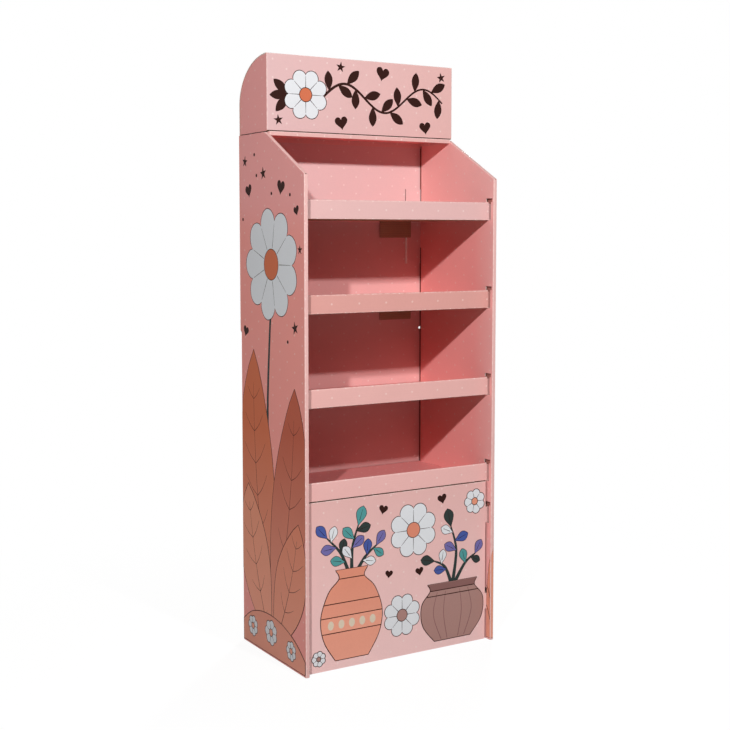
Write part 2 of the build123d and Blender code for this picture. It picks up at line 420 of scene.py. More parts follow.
def finish_board(
    tree, pink, printed, ends, sides, along, depth, ribs,
    scuff_distance=None, dot_at=(0.0, 0.0), bare=KRAFT,
):
    """Puts a board together: print, bare paper, ends cut across the flutes and sides cut along them."""
    grain = tree.group("paper_grain", {"Spot": tree.spot, "Strength": PRINT_GRAIN})
    fibres = tree.group("paper_grain", {"Spot": tree.spot, "Strength": BARE_GRAIN})
    rib = tree.group("flute_ribs", {"Along": ribs})["Height"]
    wave = tree.group("cut_flutes", {"Along": along, "Depth": depth})["Paper"]

    dots_across = tree.minus(tree.across, dot_at[0])
    dots_up = tree.minus(tree.up, dot_at[1])
    dots = tree.group("polka_dots", {"Across": dots_across, "Up": dots_up})["Mask"]
    print_colour = tree.blend(tree.times(dots, DOT_STRENGTH), DOT_WHITE, pink)
    if scuff_distance is not None:
        fold = {"Spot": tree.spot, "Distance": scuff_distance, "Reach": SCUFF_REACH}
        print_colour = tree.blend(tree.group("fold_scuffs", fold)["Mask"], SCUFF, print_colour)
    print_colour = tree.toned(print_colour, grain["Tone"])

    bare_tone = tree.times(fibres["Tone"], tree.range(rib, 0.0, 1.0, *RIB_TONES))
    bare_colour = tree.toned(bare, bare_tone)

    cut = tree.either(ends, sides)
    cut_colour = tree.blend(wave, tree.toned(CUT_PAPER, fibres["Tone"]), CUT_SHADE)
    cut_colour = tree.blend(sides, tree.toned(CUT_SIDE, fibres["Tone"]), cut_colour)

    colour = tree.blend(printed, print_colour, bare_colour)
    colour = tree.blend(cut, cut_colour, colour)
    face_roughness = tree.choose(printed, PRINT_ROUGHNESS, BARE_ROUGHNESS)
    roughness = tree.plus(tree.choose(cut, CUT_ROUGHNESS, face_roughness), grain["Gloss"])
    rib_height = tree.times(rib, tree.choose(printed, PRINT_RIBS, BARE_RIBS))
    grain_height = tree.times(grain["Height"], GRAIN_RELIEF)
    cut_height = tree.times(tree.either(wave, sides), cut, CUT_RELIEF)
    height = tree.plus(rib_height, grain_height, cut_height)
    return tree.finish(colour, roughness, height, BOARD_SHINE)


# Boards of the stand

def side_wall_material():
    """Printed outside and inside, bare in its hollow, cut along the bottom, the rear and its slots."""
    tree = BoardTree("side_wall_board")
    on_flap = tree.below(tree.side, inner_x - HAIR)
    in_slots_or_rear = tree.above(tree.y, front_y + 3 * BOARD)
    faces_along = tree.above(tree.size(tree.ny), SQUARELY)
    slot_cuts = tree.without(tree.both(faces_along, in_slots_or_rear), on_flap)
    ends = tree.above(tree.size(tree.nz), SQUARELY)

    outside = tree.above(tree.side, outer_x - BOARD / 2)
    inside = tree.below(tree.side, inner_x + BOARD / 2)
    fold = tree.below(tree.y, front_y + BOARD / 2)
    slopes_forward = tree.below(tree.ny, -SLIGHTLY)
    bevel = tree.both(slopes_forward, tree.above(tree.nz, SLIGHTLY))
    printed = tree.either(outside, inside, fold, bevel)

    # Painted light: the inner face pales towards its front edge and above the top shelf; the flap and
    # outer face above the top shelf
    near_front = tree.range(tree.y, front_y + PALE_FROM, front_y + PALE_TO, PALE_SHARE, 0.0)
    inner_pink = tree.blend(tree.either(tree.top_bay_light(), near_front), INNER_TOP_PINK, INNER_PINK)
    flap_pink = tree.blend(tree.top_bay_light(), BACK_TOP_PINK, BACK_PINK)
    outer_pink = tree.blend(tree.top_bay_light(), WALL_TOP_PINK, WALL_PINK)
    # Painted shade: the lock flap's cut edge is drawn dark
    flap_cut = tree.both(tree.below(tree.side, lock_flap_edge_x + 2 * HAIR), tree.faces_side)
    under_top_shelf = tree.below(tree.z, top_bay_z)
    # Painted highlight: a near-white band along the lock flap's edge below the top shelf
    flap_highlight = tree.both(tree.below(tree.side, lock_flap_edge_x + FLAP_HIGHLIGHT_WIDTH), under_top_shelf)
    # Painted shade: a dark line down the inner face at the back corner, left out where the lock flap
    # folds
    past_fold = tree.either(tree.above(tree.z, LOCK_FOLD_HIGH), tree.below(tree.z, LOCK_FOLD_LOW))
    at_corner = tree.above(tree.y, back_face_y - CORNER_GAP)
    corner_line = tree.without(tree.both(past_fold, tree.faces_side, at_corner), on_flap)

    pink = tree.blend(on_flap, flap_pink, inner_pink)
    pink = tree.blend(flap_cut, CUT_SHADE, pink)
    pink = tree.blend(flap_highlight, FLAP_HIGHLIGHT_COLOUR, pink)
    pink = tree.blend(corner_line, HOLLOW_SHADE, pink)
    pink = tree.blend(inside, pink, outer_pink)
    # Painted light: the front fold and the bevel take the paler pink of the fronts that face the lamps
    pink = tree.blend(tree.without(slopes_forward, on_flap), FRONT_PINK, pink)

    from_outside = tree.minus(outer_x, tree.side)
    from_inside = tree.minus(tree.side, inner_x)
    from_front = tree.minus(tree.y, front_y)
    depth = tree.least(from_outside, from_inside, from_front)
    along = tree.plus(tree.x, tree.y)
    outer_fold = tree.distance((tree.side, outer_x), (tree.y, front_y))
    inner_fold = tree.distance((tree.side, inner_x), (tree.y, front_y))
    return finish_board(
        tree, pink, printed, ends, slot_cuts, along, depth, tree.across,
        tree.least(outer_fold, inner_fold), WALL_DOT, HOLLOW_PAPER,
    )


def back_panel_material():
    """Printed towards the shelves, with painted shade where it runs into the hollow walls, and bare
    behind.
    """
    tree = BoardTree("back_panel_board")
    sides = tree.above(tree.size(tree.nz), SQUARELY)
    ends = tree.both(tree.faces_side, tree.below(tree.side, flange_x))
    depth = tree.minus(tree.y, back_face_y)
    in_wall = tree.above(tree.side, inner_x)
    # Painted light: the back panel pales above the top shelf
    pink = tree.blend(tree.top_bay_light(), BACK_TOP_PINK, BACK_PINK)
    # Painted shade in the corners where the panel runs into the hollow walls
    pink = tree.blend(in_wall, CORNER_SHADE, pink)
    return finish_board(
        tree, pink, tree.faces_front, ends, sides, tree.z, depth, tree.up, dot_at=BACK_DOT
    )


def stiffener_material():
    """Bare board behind, with its side edges papered like the walls."""
    tree = BoardTree("stiffener_board")
    ends = tree.above(tree.size(tree.nz), MOSTLY)
    depth = tree.minus(tree.y, back_high.y)
    return finish_board(tree, WALL_PINK, tree.faces_side, ends, 0.0, tree.x, depth, tree.across)


def shelf_material(number, lip_pink):
    """Printed on top and on the lip, bare below, cut at the ends."""
    low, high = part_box(f"shelf_{number}")
    underside = high.z - LIP_HEIGHT
    lip_front = low.y
    tree = BoardTree(f"shelf_{number}_board")
    hanging_tab = tree.both(tree.below(tree.z, underside - HAIR), tree.faces_front)
    printed = tree.minus(1.0, tree.either(hanging_tab, tree.faces_down))
    in_lip = tree.below(tree.y, lip_front + 2 * BOARD)
    pink = tree.blend(in_lip, lip_pink, DECK_PINK)
    depth = tree.choose(in_lip, tree.minus(tree.y, lip_front), tree.minus(tree.z, underside))
    along = tree.plus(tree.y, tree.z)
    top_fold = tree.distance((tree.y, lip_front), (tree.z, high.z))
    foot_fold = tree.distance((tree.y, lip_front), (tree.z, underside))
    return finish_board(
        tree, pink, printed, tree.faces_side, 0.0, along, depth, tree.up,
        tree.least(top_fold, foot_fold), (LIP_DOT_ACROSS, underside + LIP_HEIGHT / 2),
    )


def base_front_material():
    """Printed in front, with painted light that makes it a little paler towards the ground, and bare
    behind.
    """
    tree = BoardTree("base_front_board")
    pink = tree.blend(tree.range(tree.z, 0.0, base_high.z), FRONT_PINK, FOOT_PINK)
    ends = tree.above(tree.size(tree.nz), MOSTLY)
    depth = tree.minus(tree.y, base_low.y)
    top_edge = tree.distance((tree.y, base_low.y), (tree.z, base_high.z))
    return finish_board(
        tree, pink, tree.faces_front, ends, tree.faces_side, tree.x, depth, tree.across,
        top_edge, BASE_DOT,
    )


def cross_material():
    """Bare on both sides."""
    tree = BoardTree("cross_board")
    ends = tree.above(tree.size(tree.nz), SQUARELY)
    along = tree.plus(tree.x, tree.y)
    return finish_board(tree, KRAFT, 0.0, ends, 0.0, along, PLAIN_CUT, tree.across)


def roof_material():
    """Printed on both sides, cut along its rims."""
    tree = BoardTree("roof_board")
    rim = tree.both(tree.faces_down, tree.below(tree.z, roof_high.z - 2 * BOARD))
    depth = tree.minus(tree.y, roof_low.y)
    fold = tree.distance((tree.y, roof_low.y), (tree.z, roof_high.z))
    # Painted shade: the underside takes the redder pink of faces in shade
    pink = tree.blend(tree.faces_down, INNER_PINK, FRONT_PINK)
    return finish_board(tree, pink, 1.0, 0.0, rim, tree.x, depth, tree.up, fold)


def header_material():
    """Printed outside and bare inside, with the cut edge of the rolled sheet past the cheeks."""
    tree = BoardTree("header_board")
    run = header_high.y - header_front_y
    angle = tree.math(
        "ARCTAN2",
        tree.math("DIVIDE", tree.minus(tree.z, roll_spring_z), ROLL_RISE),
        tree.math("DIVIDE", tree.minus(tree.y, header_front_y), run),
    )
    arc = tree.times(angle, (run + ROLL_RISE) / 2)
    on_roll = tree.both(tree.above(tree.ny, BARELY), tree.above(tree.z, roll_spring_z))
    tree.up = tree.choose(on_roll, arc, tree.z)

    in_cheeks = tree.both(tree.below(tree.side, cheek_x - IN_SHEET), tree.faces_side)
    in_front = tree.below(tree.y, header_front_y + 2 * BOARD)
    behind_front = tree.above(tree.y, header_front_y + IN_SHEET)
    inside = tree.either(
        in_cheeks,
        tree.both(tree.above(tree.ny, MOSTLY), in_front),
        tree.both(tree.below(tree.ny, -BARELY), behind_front),
        tree.below(tree.nz, -BARELY),
    )
    printed = tree.minus(1.0, inside)
    past_cheek = tree.both(tree.above(tree.side, cheek_x + HAIR), tree.faces_side)
    cuts = tree.either(past_cheek, tree.below(tree.nz, -SQUARELY))
    before_rear = tree.below(tree.y, header_high.y - 2 * BOARD)
    legs = tree.both(tree.faces_side, tree.below(tree.z, roof_high.z), before_rear)

    # Painted light and shade: the front pales towards the left, and faces that don't face the front
    # take a redder pink
    pink = tree.blend(tree.range(tree.x, -cheek_x, cheek_x), FRONT_PINK, HEADER_PINK)
    pink = tree.blend(tree.faces_front, pink, WALL_TOP_PINK)
    # Painted shade on the legs, seen through the gap above the walls
    pink = tree.blend(legs, HOLLOW_SHADE, pink)
    top_fold = tree.distance((tree.y, header_front_y), (tree.z, header_high.z))
    end_fold = tree.distance((tree.y, header_front_y), (tree.side, cheek_x))
    return finish_board(
        tree, pink, printed, 0.0, cuts, tree.y, PLAIN_CUT, tree.up,
        tree.least(top_fold, end_fold), HEADER_DOT,
    )


def ink_material(name):
    """Matt ink on coated paper; the warm ones fade towards the ground."""
    tree = BoardTree("ink_" + name)
    grain = tree.group("paper_grain", {"Spot": tree.spot, "Strength": INK_GRAIN})
    colour = INKS[name]
    if name in FADING_INKS:
        colour = tree.blend(tree.range(tree.z, 0.0, FADE_TOP, FADE_SHARE, 0.0), BLUSH, colour)
    colour = tree.toned(colour, grain["Tone"])
    roughness = tree.plus(grain["Gloss"], PRINT_ROUGHNESS)
    height = tree.times(grain["Height"], GRAIN_RELIEF)
    return tree.finish(colour, roughness, height, INK_SHINE)


def dress(node, material):
    """Gives a board its material."""
    piece = boards[node]
    piece.data.materials.clear()
    piece.data.materials.append(material)


wall_board = side_wall_material()
dress("left_side_wall", wall_board)
dress("right_side_wall", wall_board)
dress("back_panel", back_panel_material())
dress("rear_stiffener", stiffener_material())
for number, lip_pink in enumerate(LIP_PINKS, start=1):
    dress(f"shelf_{number}", shelf_material(number, lip_pink))
dress("base_front", base_front_material())
cross_board = cross_material()
dress("base_cross_long", cross_board)
dress("base_cross_short", cross_board)
dress("roof_tray", roof_material())
dress("header_box", header_material())
ink_materials = {name: ink_material(name) for name in INKS}


# Outlines of the printed motifs, in millimetres on a flat panel

TIP = 0.15
LEAF_FULLNESS = 1.15
SPRAY_FULLNESS = 1.2
DROP_FULLNESS = 1.5


def smooth(points, steps=6):
    """Points of a smooth line through the given ones."""
    line = []
    ends = [points[0], *points, points[-1]]
    for before, start, end, after in zip(ends, ends[1:], ends[2:], ends[3:]):
        for step in range(steps):
            t = step / steps
            line.append(tuple(
                0.5 * (2 * b + (c - a) * t + (2 * a - 5 * b + 4 * c - d) * t ** 2
                       + (3 * b - a - 3 * c + d) * t ** 3)
                for a, b, c, d in zip(before, start, end, after)
            ))
    return line + [points[-1]]


def sideways(line):
    """Unit vector to the left of a line at each of its points."""
    points = [Vector(point) for point in (line[0], *line, line[-1])]
    steps = [(after - before).normalized() for before, after in zip(points, points[2:])]
    return [Vector((-step.y, step.x)) for step in steps]


def band(line, half_widths):
    """Closed outline around a line with a half width at each point."""
    left, right = [], []
    for point, side, half in zip(line, sideways(line), half_widths):
        left.append(tuple(Vector(point) + side * half))
        right.append(tuple(Vector(point) - side * half))
    return left + right[::-1]


def stroke(points, start_width, end_width):
    """Brush stroke that tapers along a smooth line."""
    line = smooth(points)
    last = len(line) - 1
    growth = (end_width - start_width) / last
    return band(line, [(start_width + growth * place) / 2 for place in range(last + 1)])


def blade(base, tip, half_width, bend, fullness, steps=18):
    """Leaf from its base to its tip, bent sideways; a fullness above 1 makes it widest near the tip."""
    base, tip = Vector(base), Vector(tip)
    along = tip - base
    side = Vector((-along.y, along.x)).normalized()
    spine, widths = [], []
    for step in range(steps + 1):
        t = step / steps
        spine.append(tuple(base + along * t + side * bend * 4 * t * (1 - t)))
        swell = math.sin(math.pi * t ** fullness)
        widths.append(half_width * swell ** 0.8 if 0 < step < steps else TIP)
    return spine, band(spine, widths)


def around(centre, radius, angle):
    """Point at a radius and an angle round a centre."""
    return centre[0] + radius * math.cos(angle), centre[1] + radius * math.sin(angle)


def oval(centre, across, up, steps):
    """Round or oval spot, from its half width and half height."""
    turns = [math.tau * step / steps for step in range(steps)]
    return [(centre[0] + across * math.cos(a), centre[1] + up * math.sin(a)) for a in turns]


def rosette(centre, radius, petals, dip=0.22, steps=14):
    """Flower head of round petals."""
    outline = []
    for step in range(petals * steps):
        angle = math.tau * step / (petals * steps)
        reach = radius * (1 - dip + dip * abs(math.sin(petals * angle / 2)) ** 0.7)
        outline.append(around(centre, reach, angle))
    return outline


def turned(outline, centre, tilt):
    """An outline around zero, turned by an angle in degrees and moved to its centre."""
    c, s = math.cos(math.radians(tilt)), math.sin(math.radians(tilt))
    return [(centre[0] + c * u - s * v, centre[1] + s * u + c * v) for u, v in outline]


def heart(centre, size, tilt, steps=36):
    """Heart by the usual formula, which draws it 32 wide."""
    outline = []
    for step in range(steps):
        a = math.tau * step / steps
        across = 16 * math.sin(a) ** 3
        up = 13 * math.cos(a) - 5 * math.cos(2 * a) - 2 * math.cos(3 * a) - math.cos(4 * a)
        outline.append((across * size / 32, up * size / 32))
    return turned(outline, centre, tilt)


def star(centre, size, tilt, points=5):
    """Star with its first point upwards."""
    outline = []
    for step in range(2 * points):
        reach = size / 2 if step % 2 == 0 else size / 5
        outline.append(around((0, 0), reach, math.pi / 2 + math.pi * step / points))
    return turned(outline, centre, tilt)


def vessel(foot, profile):
    """Pot or vase on the middle of its foot, from half widths and heights."""
    side = smooth(profile)
    right = [(foot[0] + half, foot[1] + height) for half, height in side]
    left = [(foot[0] - half, foot[1] + height) for half, height in reversed(side)]
    return right + left


def girth(profile, height):
    """Half width of a vessel at a height above its foot."""
    side = smooth(profile)
    for (half, low), (next_half, high) in zip(side, side[1:]):
        if low <= height <= high:
            return half + (next_half - half) * (height - low) / (high - low)
    return side[-1][0]


def hoop(foot, profile, low, high, steps=8):
    """Band round a vessel between two heights."""
    heights = [low + (high - low) * step / steps for step in range(steps + 1)]
    return vessel(foot, [(girth(profile, height), height) for height in heights])


def leftward(outline):
    """The outline, run round to the left."""
    sides = zip(outline, outline[1:] + outline[:1])
    area = sum(a[0] * b[1] - b[0] * a[1] for a, b in sides)
    return outline if area >= 0 else outline[::-1]


def grown(outline, margin):
    """Outline moved outwards all round."""
    corners = [Vector(point) for point in leftward(outline)]
    result = []
    for before, here, after in zip(corners[-1:] + corners, corners, corners[1:] + corners[:1]):
        first = (here - before).normalized()
        second = (after - here).normalized()
        out = Vector((first.y + second.y, -first.x - second.x))
        at_sharp_tip = out.length < 0.2
        if at_sharp_tip:
            out = first - second
        result.append(tuple(here + out.normalized() * margin))
    return result


# Sheets of ink, in millimetres; a pair of widths says how a stroke starts and ends
INK_SHEET = 0.15
INK_STEP = 0.05
LINE = 2.0
DROP_LINE = 1.4
FOLD_LINE = 1.2
MIDRIB = (2.4, 0.8)
VEIN = (1.8, 0.6)
PETAL_LINE = (1.8, 0.8)
CREASE = (2.4, 1.6)
TWIG = (12, 4)
VEIN_REACH = 0.62
VEIN_LEAN = 0.9
VEIN_SAG = 0.12
DROP_WIDTH = 0.29
FLOWER_MIDDLE = 0.27
PETAL_LINE_SHARES = (0.30, 0.52, 0.74)

# Ends of the print on the panels
FOLD = 2.0
BASE_HALF = 284.0
HEADER_HALF = cheek_x / MM - FOLD


class Panel:
    """A flat face that carries print, with its zero point, direction across and the print's ends."""

    def __init__(self, zero, across, left, right):
        self.zero = Vector(zero)
        self.across = Vector(across)
        self.up = Vector((0, 0, 1))
        self.out = self.across.cross(self.up)
        self.left = left
        self.right = right

    def place(self, point, height):
        """A spot of the drawing in the stand's frame, trimmed to the ends of the print."""
        across = min(max(point[0], self.left), self.right)
        return self.zero + MM * (self.across * across + self.up * point[1] + self.out * height)


class Print:
    """Thin closed sheets of ink that lie on the boards, joined in one piece."""

    def __init__(self, name):
        self.name = name
        self.mesh = bmesh.new()
        self.inks = []

    def fill(self, panel, outline, ink, layer=0):
        """One field of colour. A higher layer lies over a lower one."""
        outline = leftward(outline)
        if ink not in self.inks:
            self.inks.append(ink)
        height = INK_SHEET + INK_STEP * layer
        top = [self.mesh.verts.new(panel.place(point, height)) for point in outline]
        foot = [self.mesh.verts.new(panel.place(point, 0.0)) for point in outline]
        faces = [self.mesh.faces.new(top), self.mesh.faces.new(foot[::-1])]
        for here in range(len(outline)):
            after = (here + 1) % len(outline)
            faces.append(self.mesh.faces.new((foot[here], foot[after], top[after], top[here])))
        for face in faces:
            face.material_index = self.inks.index(ink)

    def draw(self, panel, points, widths, layer):
        """A thin dark stroke."""
        self.fill(panel, stroke(points, *widths), "line_brown", layer)

    def lined(self, panel, outline, ink, layer, line=LINE):
        """A field of colour with a dark line round it."""
        self.fill(panel, grown(outline, line), "line_brown", layer)
        self.fill(panel, outline, ink, layer + 1)

    def scatter(self, panel, shape, spots):
        """Small dark motifs, by centre, size and tilt."""
        for centre, size, tilt in spots:
            self.fill(panel, shape(centre, size, tilt), "line_brown")

    def leaf(self, panel, base, tip, half_width, ink, layer, bend, veins):
        """A lined leaf with a midrib and side veins."""
        spine, outline = blade(base, tip, half_width, bend, LEAF_FULLNESS)
        self.lined(panel, outline, ink, layer)
        self.draw(panel, spine[1:-2], MIDRIB, layer + 2)
        last = len(spine) - 1
        for vein in range(veins):
            place = 3 + vein * (last - 6) // (veins - 1)
            start = Vector(spine[place])
            along = (Vector(spine[place + 1]) - start).normalized()
            side = Vector((-along.y, along.x))
            reach = VEIN_REACH * half_width * math.sin(math.pi * (place / last) ** LEAF_FULLNESS)
            for way in (-1, 1):
                end = start + (side * way + along * VEIN_LEAN) * reach
                middle = (start + end) / 2 - along * reach * VEIN_SAG
                self.draw(panel, [tuple(start), tuple(middle), tuple(end)], VEIN, layer + 2)

    def drop(self, panel, base, angle, length, ink, layer):
        """Small drop-shaped leaf from its stalk end, at an angle in degrees."""
        tip = around(base, length, math.radians(angle))
        spine, outline = blade(base, tip, DROP_WIDTH * length, 0.0, DROP_FULLNESS, 12)
        self.lined(panel, outline, ink, layer, DROP_LINE)
        self.draw(panel, [spine[3], spine[6], spine[10]], PETAL_LINE, layer + 2)

    def flower(self, panel, centre, radius, petals, middle_ink, layer=0):
        """White flower head with a coloured middle and lines between its petals."""
        self.lined(panel, rosette(centre, radius, petals), "white", layer)
        for petal in range(petals):
            angle = math.tau * petal / petals
            line = [around(centre, radius * share, angle) for share in PETAL_LINE_SHARES]
            self.draw(panel, line, PETAL_LINE, layer + 2)
        middle = FLOWER_MIDDLE * radius
        self.lined(panel, oval(centre, middle, middle, 36), middle_ink, layer + 2)

    def lay(self):
        """Closes the mesh and makes the piece, which rides with the boards."""
        self.mesh.normal_update()
        bmesh.ops.triangulate(self.mesh, faces=self.mesh.faces[:])
        data = bpy.data.meshes.new(self.name)
        self.mesh.to_mesh(data)
        self.mesh.free()
        piece = bpy.data.objects.new(self.name, data)
        scene.collection.objects.link(piece)
        for ink in self.inks:
            data.materials.append(ink_materials[ink])
        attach(piece, "root")


# Print on the outside of the walls: a tall flower between broad leaves

WALL_STEM = ((-14, 60), (6, 330), (-22, 640), (4, 985))
STEM_WIDTHS = (17, 9)
# Base, tip, half width, ink, bend and number of veins
WALL_LEAVES = (
    ((2, 40), (-104, 826), 104, "terracotta", 34, 7),
    ((-4, 40), (132, 742), 96, "terracotta_deep", -30, 6),
    ((-8, 30), (-142, 452), 86, "terracotta_pale", 22, 5),
    ((8, 30), (150, 392), 82, "terracotta", -20, 5),
)
LAYERS_PER_LEAF = 3
MOUND_LAYER = 1 + LAYERS_PER_LEAF * len(WALL_LEAVES)
MOUND_FOOT = 6
MOUND_TOP = ((-176, 62), (-120, 96), (-40, 112), (50, 106), (130, 78), (184, 40))
MOUND_FLOWERS = (((-118, 56), 28), ((-8, 66), 34), ((108, 48), 26))
WALL_FLOWER = ((4, 1060), 148, 9)
# Centre, size and tilt
WALL_HEARTS = (
    ((-128, 1258), 38, 14), ((62, 1262), 42, -10), ((146, 1200), 28, 18), ((-150, 876), 32, -16)
)
WALL_STARS = (((-40, 1300), 36, 8), ((-150, 1336), 32, -6), ((136, 900), 36, 12), ((164, 1100), 26, 0))
WALL_SPOTS = ((-92, 1352), (-80, 1296), (8, 1246), (112, 1240), (-164, 1180), (96, 862))
SPOT_RADIUS = 4.5


def wall_flower(sheet, panel, front):
    """The drawing as it is where front is 1, and its mirror image where front is -1."""
    def at(point):
        return front * point[0], point[1]

    def mirrored(spots):
        return [(at(centre), size, front * tilt) for centre, size, tilt in spots]

    sheet.fill(panel, stroke([at(point) for point in WALL_STEM], *STEM_WIDTHS), "branch_dark")
    for place, (base, tip, half_width, ink, bend, veins) in enumerate(WALL_LEAVES):
        layer = 1 + LAYERS_PER_LEAF * place
        sheet.leaf(panel, at(base), at(tip), front * half_width, ink, layer, front * bend, veins)
    top = [at(point) for point in MOUND_TOP]
    mound = [(top[0][0], MOUND_FOOT), *smooth(top), (top[-1][0], MOUND_FOOT)]
    sheet.lined(panel, mound, "terracotta_deep", MOUND_LAYER)
    for centre, radius in MOUND_FLOWERS:
        sheet.flower(panel, at(centre), radius, 7, "terracotta_pale", MOUND_LAYER + 2)
    centre, radius, petals = WALL_FLOWER
    sheet.flower(panel, at(centre), radius, petals, "terracotta", 1)
    sheet.scatter(panel, heart, mirrored(WALL_HEARTS))
    sheet.scatter(panel, star, mirrored(WALL_STARS))
    for centre in WALL_SPOTS:
        sheet.fill(panel, oval(at(centre), SPOT_RADIUS, SPOT_RADIUS, 16), "line_brown")


left_print = Print("left_wall_print")
wall_flower(left_print, Panel((-outer_x, 0, 0), (0, -1, 0), -wall_high.y / MM, -front_y / MM - FOLD), 1)
left_print.lay()

right_print = Print("right_wall_print")
wall_flower(right_print, Panel((outer_x, 0, 0), (0, 1, 0), front_y / MM + FOLD, wall_high.y / MM), -1)

# The right wall's leaf runs on round its front fold, up to the base front
INNER_END = 18.5
FOLD_END = WALL_THICKNESS / MM - FOLD
LEAF_FOOT = 6
INNER_LEAF = [
    (-FOLD, LEAF_FOOT), (-INNER_END, LEAF_FOOT), (-INNER_END, 118), (-13, 176), (-7, 218), (-FOLD, 240)
]
FOLD_LEAF = [(FOLD, LEAF_FOOT), (FOLD_END, LEAF_FOOT), (FOLD_END, 262), (FOLD, 242)]
INNER_VEINS = (((-2, 58), (-10, 83), (-18, 96)), ((-2, 122), (-10, 143), (-18, 152)))

inner_strip = Panel((inner_x, front_y, 0), (0, -1, 0), -INNER_END, -FOLD)
fold_strip = Panel((inner_x, front_y, 0), (1, 0, 0), FOLD, FOLD_END)
right_print.lined(inner_strip, INNER_LEAF, "terracotta", 0, FOLD_LINE)
right_print.lined(fold_strip, FOLD_LEAF, "terracotta", 0, FOLD_LINE)
for vein in INNER_VEINS:
    right_print.draw(inner_strip, vein, CREASE, 2)
right_print.lay()


# Print on the base: two pots with sprigs, and flowers

# Each sprig has its twig, and drop leaves by their share along the twig, angle, length and ink
VASE_SPRIGS = (
    (((-156, 240), (-184, 306), (-226, 352)),
     ((0.3, 168, 44, "teal"), (0.5, 76, 40, "branch_dark"), (0.7, 186, 46, "violet"),
      (0.84, 74, 42, "white"), (1.0, 132, 46, "blue"))),
    (((-152, 240), (-150, 318), (-132, 376)),
     ((0.35, 128, 42, "white"), (0.5, 38, 44, "violet"), (0.68, 136, 46, "teal"),
      (0.84, 14, 44, "branch_dark"), (1.0, 72, 52, "teal"))),
    (((-146, 240), (-112, 288), (-76, 316)),
     ((0.42, -10, 40, "white"), (0.6, 84, 42, "blue"), (0.85, -36, 38, "teal"),
      (1.0, 56, 44, "violet"))),
)
POT_SPRIGS = (
    (((168, 176), (146, 226), (112, 246)),
     ((0.45, 178, 40, "blue"), (0.7, 80, 40, "white"), (1.0, 168, 46, "branch_dark"))),
    (((172, 176), (184, 268), (166, 336)),
     ((0.5, 152, 44, "violet"), (0.68, 20, 46, "blue"), (0.84, 156, 42, "white"),
      (1.0, 104, 52, "branch_dark"))),
    (((178, 176), (214, 228), (248, 250)),
     ((0.5, 104, 42, "teal"), (0.72, -24, 34, "branch_dark"), (1.0, 60, 42, "violet"))),
)
LAYERS_PER_SPRIG = 5
VESSEL_LAYER = LAYERS_PER_SPRIG * len(VASE_SPRIGS)

VASE_FOOT = (-152, 24)
VASE_PROFILE = ((50, 0), (84, 56), (93, 118), (70, 182), (38, 216), (48, 240))
VASE_BAND = (74, 116)
VASE_LINES = (74, 116, 152, 216)
VASE_SPOT = (9, 12)
VASE_SPOT_STEP = 32
VASE_SPOT_UP = 95
POT_FOOT = (172, 22)
POT_PROFILE = ((60, 0), (98, 48), (102, 104), (74, 140), (82, 160))
POT_BAND = (141, 159)
POT_LINES = (141, 126)
# Half the distance between a pair of ribs, and its share and height at each point of a rib
POT_RIBS = (30, 64)
POT_RIB_COURSE = ((0.6, 3), (1.0, 74), (0.8, 136))
HALF_LINE = 1.2

BASE_FLOWERS = (
    ((42, 342), 74, 8, "terracotta"), ((6, 112), 58, 8, "mauve"),
    ((246, 398), 34, 7, "terracotta_pale"), ((-252, 36), 20, 7, "mauve"),
)
BASE_HEARTS = (((136, 418), 30, 12), ((-54, 410), 28, -14), ((62, 226), 26, 8), ((-36, 232), 24, -8))


def sprigs(sheet, panel, plants):
    """Dark twigs with drop leaves, one sprig over the other."""
    for number, (twig, drops) in enumerate(plants):
        layer = LAYERS_PER_SPRIG * number
        sheet.fill(panel, stroke(twig, *TWIG), "branch_dark", layer)
        line = smooth(twig)
        for place, (share, angle, length, ink) in enumerate(drops):
            here = line[round(share * (len(line) - 1))]
            sheet.drop(panel, here, angle, length, ink, layer + 1 + 2 * (place % 2))


def hoop_lines(sheet, panel, foot, profile, heights, layer):
    """Dark lines round a vessel."""
    for height in heights:
        line = hoop(foot, profile, height - HALF_LINE, height + HALF_LINE, 1)
        sheet.fill(panel, line, "line_brown", layer)


def vase(sheet, panel):
    """Slim vase with a spotted band."""
    sprigs(sheet, panel, VASE_SPRIGS)
    sheet.lined(panel, vessel(VASE_FOOT, VASE_PROFILE), "terracotta", VESSEL_LAYER)
    sheet.fill(panel, hoop(VASE_FOOT, VASE_PROFILE, *VASE_BAND), "terracotta_pale", VESSEL_LAYER + 2)
    for step in (-2, -1, 0, 1, 2):
        centre = (VASE_FOOT[0] + step * VASE_SPOT_STEP, VASE_FOOT[1] + VASE_SPOT_UP)
        sheet.fill(panel, oval(centre, *VASE_SPOT, 20), "cream", VESSEL_LAYER + 3)
    hoop_lines(sheet, panel, VASE_FOOT, VASE_PROFILE, VASE_LINES, VESSEL_LAYER + 3)


def pot(sheet, panel):
    """Round pot with ribs and a darker rim."""
    sprigs(sheet, panel, POT_SPRIGS)
    sheet.lined(panel, vessel(POT_FOOT, POT_PROFILE), "mauve", VESSEL_LAYER)
    for half in POT_RIBS:
        for way in (-1, 1):
            rib = [(POT_FOOT[0] + way * half * share, POT_FOOT[1] + up) for share, up in POT_RIB_COURSE]
            sheet.fill(panel, stroke(rib, *CREASE), "mauve_deep", VESSEL_LAYER + 2)
    sheet.fill(panel, hoop(POT_FOOT, POT_PROFILE, *POT_BAND), "mauve_deep", VESSEL_LAYER + 3)
    hoop_lines(sheet, panel, POT_FOOT, POT_PROFILE, POT_LINES, VESSEL_LAYER + 4)


base_print = Print("base_print")
base_face = Panel((0, base_low.y, 0), (1, 0, 0), -BASE_HALF, BASE_HALF)
vase(base_print, base_face)
pot(base_print, base_face)
for centre, radius, petals, ink in BASE_FLOWERS:
    base_print.flower(base_face, centre, radius, petals, ink)
base_print.scatter(base_face, heart, BASE_HEARTS)
base_print.lay()


# Print on the header: a garland beside a flower

